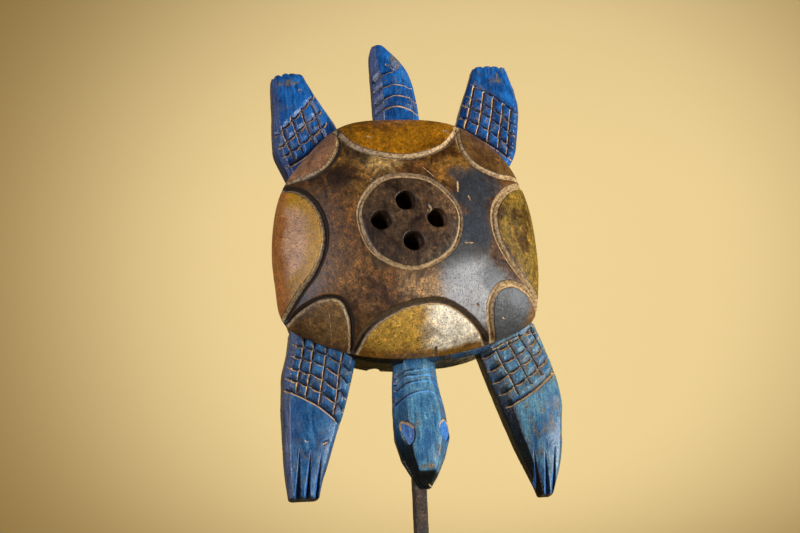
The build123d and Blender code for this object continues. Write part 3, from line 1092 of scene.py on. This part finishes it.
def shell_material():
    n = Nodes("stained_shell")
    stain, cut, groove_shadow, busy = n.colour("stain"), n.value("cut"), n.value("groove_shadow"), n.value("busy")
    even = n.scaled(1, 1, 1)
    blotch = n.noise(n.scaled(1, 0.7, 1), 42, 6, 0.66, 0.6)
    mottle = n.noise(n.scaled(1, 0.8, 1), 210, 7, 0.75, 0.3)
    speck = n.noise(even, 650, 5, 0.75)
    grain = n.noise(n.scaled(420, 22, 420), 1, 4, 0.65)
    layers = (
        (blotch, 0.45, 0.62, 1.0, (0.27, 0.21, 0.16)), (mottle, 0.51, 0.62, 0.9, (2.4, 2.0, 1.4)),
        (mottle, 0.48, 0.38, 0.85, (0.4, 0.33, 0.27)), (speck, 0.52, 0.62, 0.8, (0.36, 0.32, 0.28)),
        (speck, 0.46, 0.38, 0.65, (1.8, 1.6, 1.3)), (grain, 0.5, 0.68, 0.5, (0.5, 0.45, 0.4)),
    )
    colour = stain
    for pattern, low, high, strength, factor in layers:
        share = n.math("MULTIPLY", n.ramp(pattern, low, high, 0.0, strength), busy)
        colour = shade(n, share, colour, factor)
    chisel = n.noise(n.scaled(1, 1, 1), 330, 5, 0.7, 0.4)
    raw = n.mix(n.ramp(chisel, 0.44, 0.60), RAW_PALE, RAW_BROWN)
    # painted shadow on the shaded groove walls, then a painted dark shadow line along each groove's
    # lips
    raw = n.mix(groove_shadow, raw, GROOVE_SHADOW_BLACK)
    ragged = n.math("ADD", cut, n.math("MULTIPLY", n.math("SUBTRACT", speck, 0.5), 0.5))
    colour = n.mix(n.ramp(ragged, 0.01, 0.07, 0.0, 0.85), colour, GROOVE_SHADOW_BLACK)
    colour = n.mix(n.ramp(ragged, 0.10, 0.22), colour, raw)
    rough = n.ramp(mottle, 0.3, 0.7, 0.30, 0.46)
    rough = n.math("ADD", rough, n.math("MULTIPLY", cut, 0.35), clamp=True)
    normal = n.bump(n.noise(even, 300, 7, 0.72), 0.0009, 0.6)
    normal = n.bump(grain, 0.0005, 0.6, normal)
    return n.finish(colour, rough, normal)


def paint_material(name, blue, deep, show):
    """Worn blue paint over wood, with painted shade, highlights and sheen from the attributes.  `show`
    is how much bare wood shows through.
    """
    n = Nodes(name)
    raw, shade_and_highlight, edge = n.value("raw"), n.value("shade_and_highlight"), n.value("edge")
    side_shade, left_sheen = n.value("side_shade"), n.value("left_sheen")
    even = n.scaled(1, 1, 1)
    cloud = n.noise(n.scaled(1, 0.5, 1), 60, 6, 0.68, 0.6)
    brush = n.noise(n.scaled(340, 34, 340), 1, 6, 0.75)
    thin = n.noise(n.scaled(1, 0.55, 1), 130, 7, 0.75, 0.5)
    speck = n.noise(even, 620, 5, 0.75)
    colour = n.mix(n.ramp(cloud, 0.40, 0.60), blue, deep)
    # painted sheen, violet-grey, on the left facets
    colour = n.mix(n.math("MULTIPLY", left_sheen, 0.8), colour, (0.14, 0.165, 0.26))
    layers = (
        (brush, 0.50, 0.62, 0.85, (0.32, 0.38, 0.45)), (brush, 0.46, 0.36, 0.7, (2.5, 2.0, 1.6)),
        (speck, 0.53, 0.62, 0.8, (0.35, 0.4, 0.42)), (speck, 0.45, 0.38, 0.6, (2.6, 1.8, 1.3)),
    )
    for pattern, low, high, strength, factor in layers:
        colour = shade(n, n.ramp(pattern, low, high, 0.0, strength), colour, factor)
    wear = n.math("ADD", thin, n.math("MULTIPLY", edge, 0.10))
    wear = n.math("ADD", wear, n.math("MULTIPLY", n.math("SUBTRACT", speck, 0.5), 0.5))
    wood = n.mix(n.ramp(speck, 0.42, 0.58), (0.24, 0.17, 0.075), (0.05, 0.045, 0.025))
    colour = n.mix(n.ramp(wear, 0.59 - show, 0.68 - show, 0.0, 0.8), colour, wood)
    # painted shade on groove walls, painted highlight on lit walls and eye ledges
    colour = shade(n, n.ramp(shade_and_highlight, 0.3, 0.8, 0.0, 0.97), colour, (0.06, 0.08, 0.12))
    colour = shade(n, n.ramp(shade_and_highlight, -0.1, -0.6, 0.0, 0.8), colour, (1.8, 1.8, 2.2))
    # painted highlight, bright blue, on the eye ledges
    highlight_blue = n.mix(n.ramp(speck, 0.4, 0.6), (0.06, 0.22, 0.58), (0.015, 0.08, 0.28))
    colour = n.mix(n.ramp(shade_and_highlight, -0.75, -0.95), colour, highlight_blue)
    # painted shade on the limb's sides
    colour = shade(n, side_shade, colour, (0.10, 0.07, 0.05))
    chisel = n.noise(even, 300, 4, 0.6)
    tan = n.mix(n.ramp(chisel, 0.50, 0.66), LINE_TAN, RAW_BROWN)
    ragged = n.math("ADD", raw, n.math("MULTIPLY", n.math("SUBTRACT", speck, 0.5), 0.7))
    colour = n.mix(n.ramp(ragged, 0.35, 0.55), colour, tan)
    rough = n.ramp(thin, 0.3, 0.7, 0.18, 0.34)
    rough = n.math("ADD", rough, n.math("MULTIPLY", raw, 0.4), clamp=True)
    normal = n.bump(n.noise(even, 420, 6, 0.7), 0.0006, 0.5)
    normal = n.bump(brush, 0.0005, 0.5, normal)
    return n.finish(colour, rough, normal)


def rust_material():
    n = Nodes("rusted_iron")
    even = n.scaled(1, 1, 1)
    scale = n.noise(n.scaled(1, 1, 0.6), 120, 7, 0.72, 0.3)
    fleck = n.noise(even, 380, 6, 0.75)
    grit = n.noise(even, 900, 4, 0.7)
    colour = n.mix(n.ramp(scale, 0.42, 0.6), (0.022, 0.018, 0.012), (0.07, 0.035, 0.016))
    colour = n.mix(n.ramp(fleck, 0.53, 0.62, 0.0, 0.85), colour, (0.20, 0.085, 0.028))
    colour = n.mix(n.ramp(fleck, 0.44, 0.36, 0.0, 0.85), colour, (0.012, 0.010, 0.008))
    colour = n.mix(n.ramp(grit, 0.56, 0.66, 0.0, 0.7), colour, (0.17, 0.16, 0.14))
    rough = n.ramp(scale, 0.35, 0.7, 0.45, 0.8)
    normal = n.bump(fleck, 0.0012, 0.8, n.bump(grit, 0.0006, 0.6))
    return n.finish(colour, rough, normal, Metallic=0.15)


def peg_material():
    n = Nodes("peg_wood")
    rings = n.cells(n.scaled(1, 1, 0.2), 900)
    base = n.mix(n.noise(n.scaled(1, 1, 1), 300, 4, 0.6), (0.42, 0.27, 0.13), (0.2, 0.12, 0.06))
    colour = n.mix(n.ramp(rings, 0.1, 0.6, 0.0, 0.5), base, (0.12, 0.07, 0.035))
    return n.finish(colour, 0.7, n.bump(rings, 0.0003, 0.6))


def screw_material():
    n = Nodes("screw_steel")
    scratch = n.noise(n.scaled(900, 60, 60), 1, 4, 0.6)
    colour = n.mix(n.ramp(scratch, 0.4, 0.7), (0.30, 0.29, 0.27), (0.42, 0.41, 0.39))
    return n.finish(colour, n.ramp(scratch, 0.3, 0.7, 0.32, 0.5), n.bump(scratch, 0.0002, 0.4),
                    Metallic=0.9)


# ---- colours of the shell's fields, linear -----------------------------------------
# field: its colour and how strongly it is mottled
FIELDS = {
    "tail": ((0.24, 0.10, 0.002), 0.7),
    "head": ((0.46, 0.27, 0.04), 0.6),
    # the left field's pale rosy orange is partly a painted sheen
    "left": ((0.66, 0.37, 0.18), 0.3),
    "right": ((0.15, 0.095, 0.014), 1.0),
    "front_left": ((0.17, 0.095, 0.03), 0.7),
    "front_right": ((0.075, 0.085, 0.095), 0.5),
    "rear_left": ((0.38, 0.19, 0.09), 0.5),
    "rear_right": ((0.10, 0.05, 0.014), 0.7),
}
# pale cream of the head field's right half: partly worn paint, partly painted sheen
WORN_AND_SHEEN_CREAM = (0.80, 0.74, 0.58)
EDGE_BROWN = (0.33, 0.16, 0.02)
LINE_YELLOW = (0.56, 0.28, 0.014)
EDGE_ORANGE = (0.42, 0.16, 0.035)
CORNER_BROWN = (0.16, 0.09, 0.035)
PLATEAU = (0.09, 0.040, 0.010)
MEDALLION = (0.036, 0.025, 0.016)
BLUE_BLACK = (0.022, 0.028, 0.038)
# pale grey patch low on the right of the plateau: painted sheen over faded stain
SHEEN_AND_FADE_GREY = (0.36, 0.37, 0.38)
# Soft patches over the plateau: middle u, v, radius, colour, strength, how mottled
PATCHES = (
    (-52, 56, 26, (0.25, 0.13, 0.025), 0.7, 1.0), (-22, 68, 18, (0.40, 0.27, 0.10), 0.7, 1.0),
    (-68, 22, 26, (0.13, 0.055, 0.010), 0.7, 1.0), (-60, -50, 36, (0.17, 0.085, 0.025), 0.7, 1.0),
    (46, 62, 26, (0.20, 0.10, 0.015), 0.6, 1.0), (10, -54, 30, (0.32, 0.20, 0.09), 0.8, 0.9),
    (-64, 50, 12, (0.04, 0.02, 0.006), 0.8, 1.0), (-40, 80, 12, (0.035, 0.02, 0.008), 0.9, 1.0),
    (-34, -34, 12, (0.04, 0.025, 0.012), 0.8, 1.0), (4, 74, 9, (0.03, 0.02, 0.01), 0.8, 1.0),
    (62, 34, 22, BLUE_BLACK, 0.95, 0.35), (58, -4, 24, BLUE_BLACK, 1.0, 0.35),
    (80, 46, 16, BLUE_BLACK, 0.8, 0.4), (56, 50, 14, BLUE_BLACK, 0.8, 0.4),
    (46, -36, 27, (0.045, 0.05, 0.055), 0.95, 0.25), (56, -64, 34, SHEEN_AND_FADE_GREY, 0.9, 0.15),
    (76, -50, 16, (0.09, 0.10, 0.11), 0.8, 0.25),
)


def blend(colours, share, other):
    """Moves one colour a point towards another colour, by one share a point."""
    share = share[:, None]
    return colours * (1 - share) + np.array(other) * share


def field_colours(name, line, plan, ragged):
    """The colour of one field of the shell at every plan point, with its worn, painted-sheen and
    yellow parts.
    """
    colours = np.tile(FIELDS[name][0], (len(plan), 1))
    if name == "head":
        # the head field pales to the right: worn paint and painted sheen
        colours = blend(colours, smoothstep(0, 26, plan[:, 0] + 0.3 * ragged), WORN_AND_SHEEN_CREAM)
        low_edge = smoothstep(0.955, 0.985, rim_share(plan) + 0.001 * ragged)
        colours = blend(colours, low_edge, EDGE_BROWN)
    if name == "left":
        from_line = np.abs(nearest(plan, line[::4])[0]) + 0.3 * ragged
        colours = blend(colours, smoothstep(20, 9, from_line), LINE_YELLOW)
        orange = smoothstep(0.9, 0.96, rim_share(plan) + 0.002 * ragged)
        colours = blend(colours, orange, EDGE_ORANGE)
    if name == "front_right":
        brown = smoothstep(108, 116, plan[:, 0] + 0.5 * ragged)
        colours = blend(colours, brown, CORNER_BROWN)
    return colours


def paint_shell(piece):
    """Stores the stain, how busy its mottling is, what the grooves show and their painted shadow, for
    the material.
    """
    points = points_of(piece)
    plan = points[:, :2]
    colour = np.tile(PLATEAU, (len(plan), 1))
    ragged = 9 * lumps(plan, 14, 201) + 5 * lumps(plan, 5, 202)
    busy = np.ones(len(plan))
    for u, v, radius, tint, strength, mottled in PATCHES:
        away = np.hypot(plan[:, 0] - u, plan[:, 1] - v) + ragged * (0.3 + 0.7 * mottled)
        share = strength * smoothstep(radius * 1.25, radius * 0.5, away)
        busy = busy * (1 - share) + mottled * share
        colour = blend(colour, share, tint)
    in_ring = inside(plan, ring_line())
    colour = np.where(in_ring[:, None], 0.25 * colour + 0.75 * np.array(MEDALLION), colour)
    lighter = smoothstep(8, 38, plan[:, 0] + ragged)[:, None]
    colour = np.where(in_ring[:, None], colour * (1 + 0.8 * lighter), colour)
    busy = np.where(in_ring, 1.0, busy)
    for name, line in SHELL_CUTS.items():
        away = line[[0, -1]] * 1.6
        outline = np.vstack((line, away[1], line.mean(axis=0) * 2.4, away[0]))
        within = inside(plan, outline)
        colour = np.where(within[:, None], field_colours(name, line, plan, ragged), colour)
        busy = np.where(within, FIELDS[name][1], busy)
    _, share, groove_shadow = shell_grooves(plan)
    _, marked = mark_cuts(plan)
    share = np.where(marked > 0.1, -0.5 * marked, share)
    share = share * smoothstep(BLOCK_THICK + 0.5, BLOCK_THICK + 4, points[:, 2])
    set_colours(piece, "stain", colour)
    set_values(piece, "busy", busy)
    set_values(piece, "cut", np.abs(share))
    set_values(piece, "groove_shadow", groove_shadow)


paint_shell(shell)
wear_material(shell, shell_material())
PAINTS = {
    "head": paint_material("head_paint", (0.065, 0.19, 0.30), (0.022, 0.10, 0.23), 0.04),
    "leg_front_left": paint_material("left_paint", (0.03, 0.125, 0.27), (0.011, 0.06, 0.17), 0.03),
    "leg_front_right": paint_material("right_paint", (0.075, 0.19, 0.27), (0.025, 0.09, 0.19), 0.06),
}
rear_paint = paint_material("rear_paint", (0.010, 0.10, 0.33), (0.005, 0.048, 0.17), 0.02)
for limb_name, limb in limbs.items():
    wear_material(limb, PAINTS.get(limb_name, rear_paint))
for attribute in ("raw", "shade_and_highlight", "edge", "left_sheen"):
    set_values(block, attribute, np.zeros(len(block.data.vertices)))
block_points = points_of(block)
# painted shadow on the block's band left of the neck, under the shell's rim
shaded = smoothstep(8, -6, block_points[:, 0]) * smoothstep(-96, -108, block_points[:, 1])
set_values(block, "side_shade", shaded)
wear_material(block, paint_material("body_paint", (0.012, 0.055, 0.13), (0.02, 0.026, 0.022), 0.04))
rust = rust_material()
wear_material(bar, rust)
wear_material(plate, rust)
wood_end = peg_material()
for node_name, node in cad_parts.items():
    if node_name.startswith(("peg_", "shell_dowel_")):
        wear_material(node, wood_end)
wear_material(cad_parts["base_screw"], screw_material())


# ==== stage, light and camera =======================================================
LIGHT_POOL_CENTRE = (1.27, 4.40, 1.00)


def stage_material():
    """A pale backdrop with a painted pool of light that darkens away from its centre."""
    n = Nodes("pale_stage")
    away = n.add("ShaderNodeVectorMath", operation="DISTANCE")
    n.put(away.inputs[0], n.place)
    away.inputs[1].default_value = LIGHT_POOL_CENTRE
    away = away.outputs["Value"]
    colour = n.mix(n.ramp(away, 0.75, 1.9), (0.306, 0.247, 0.130), (0.120, 0.080, 0.020))
    return n.finish(colour, 0.9, n.bump(n.noise(n.scaled(1, 1, 1), 60, 3, 0.5), 0.0005, 0.1))


STAGE_RADIUS = 4.6
WALL_HEIGHT = 4.0
COVE = 1.2


def make_stage():
    """A round floor that curves up into a wall all the way round."""
    turns = 96
    profile = [(0.0, 0.0), (STAGE_RADIUS - COVE, 0.0)]
    for k in range(1, 13):
        a = k / 12 * math.pi / 2
        profile.append((STAGE_RADIUS - COVE + COVE * math.sin(a), COVE - COVE * math.cos(a)))
    profile.append((STAGE_RADIUS, WALL_HEIGHT))
    rings = []
    angle = np.linspace(0, 2 * math.pi, turns, endpoint=False)
    for r, z in profile[1:]:
        rings.append(np.column_stack((r * np.cos(angle), r * np.sin(angle), np.full(turns, z))))
    points = np.vstack((*rings, [[0, 0, 0]])) / MM
    faces = [f[::-1] for f in fan(list(range(turns))[::-1], turns * len(rings))]
    for k in range(len(rings) - 1):
        here = list(range(k * turns, (k + 1) * turns))
        faces += strip([n + turns for n in here], here)
    room = make_object("pale_room", points, faces, Matrix.Identity(4))
    wear_material(room, stage_material())


make_stage()

FIGURE_MIDDLE = FIGURE_MATRIX @ Vector((0, 0, 50 * MM))


def aim(obj, target):
    obj.rotation_mode = "QUATERNION"
    obj.rotation_quaternion = (Vector(target) - obj.location).to_track_quat("-Z", "Y")


def area_light(name, direction, distance, size, power, colour):
    """A soft rectangular light that the camera doesn't see."""
    lamp = bpy.data.lights.new(name, "AREA")
    lamp.shape = "RECTANGLE"
    lamp.size, lamp.size_y = size
    lamp.energy = power
    lamp.color = colour
    light = bpy.data.objects.new(name, lamp)
    light.location = FIGURE_MIDDLE + Vector(direction).normalized() * distance
    aim(light, FIGURE_MIDDLE)
    light.visible_camera = False
    bpy.context.scene.collection.objects.link(light)
    return light


key = area_light("window_right", (0.86, -0.36, 0.46), 1.6, (0.4, 0.5), 34, (1.0, 0.94, 0.86))
key.visible_glossy = False
area_light("sheen_right", (0.81, -0.58, -0.13), 1.7, (0.7, 0.8), 34, (0.96, 0.98, 1.0))
area_light("cool_left", (-0.74, -0.64, 0.2), 1.9, (0.4, 1.2), 25, (0.84, 0.86, 1.0))
area_light("low_front", (0.22, -0.73, -0.65), 1.5, (0.5, 0.4), 5, (0.95, 0.96, 1.0))
back = area_light("back_fill", (-0.45, 0.80, 0.40), 1.9, (1.0, 1.0), 13, (1.0, 0.95, 0.88))
back.visible_glossy = False
wall = area_light("wall_light", (0, 1, 0), 2.0, (0.4, 0.4), 250, (1.0, 0.93, 0.80))
wall.location = (0.43, 1.33, 1.02)
aim(wall, LIGHT_POOL_CENTRE)

world = bpy.data.worlds.new("dim_room")
world.use_nodes = True
world.node_tree.nodes["Background"].inputs["Color"].default_value = (0.8, 0.66, 0.45, 1)
world.node_tree.nodes["Background"].inputs["Strength"].default_value = 0.05
bpy.context.scene.world = world

CAMERA_AZIMUTH = math.radians(-13.0)
CAMERA_ELEVATION = math.radians(-8.0)
CAMERA_ROLL = math.radians(2.5)
CAMERA_DISTANCE = 1.9
CAMERA_LENS = 90.0
CAMERA_ASIDE = (0.00475, 0.025175)     # where the figure's middle is in the view, in metres


def make_camera():
    data = bpy.data.cameras.new("camera")
    data.lens = CAMERA_LENS
    data.sensor_width = 36.0
    camera = bpy.data.objects.new("camera", data)
    a, e = CAMERA_AZIMUTH, CAMERA_ELEVATION
    back = Vector((math.sin(a) * math.cos(e), -math.cos(a) * math.cos(e), math.sin(e)))
    right = (-back).cross(Vector((0, 0, 1))).normalized()
    up = right.cross(-back)
    c, s = math.cos(CAMERA_ROLL), math.sin(CAMERA_ROLL)
    right, up = right * c - up * s, right * s + up * c
    middle = FIGURE_MIDDLE - right * CAMERA_ASIDE[0] - up * CAMERA_ASIDE[1]
    turn = Matrix((right, up, back)).transposed()
    camera.matrix_world = Matrix.Translation(middle + back * CAMERA_DISTANCE) @ turn.to_4x4()
    bpy.context.scene.collection.objects.link(camera)
    bpy.context.scene.camera = camera


make_camera()
bpy.context.scene.view_settings.view_transform = "Standard"
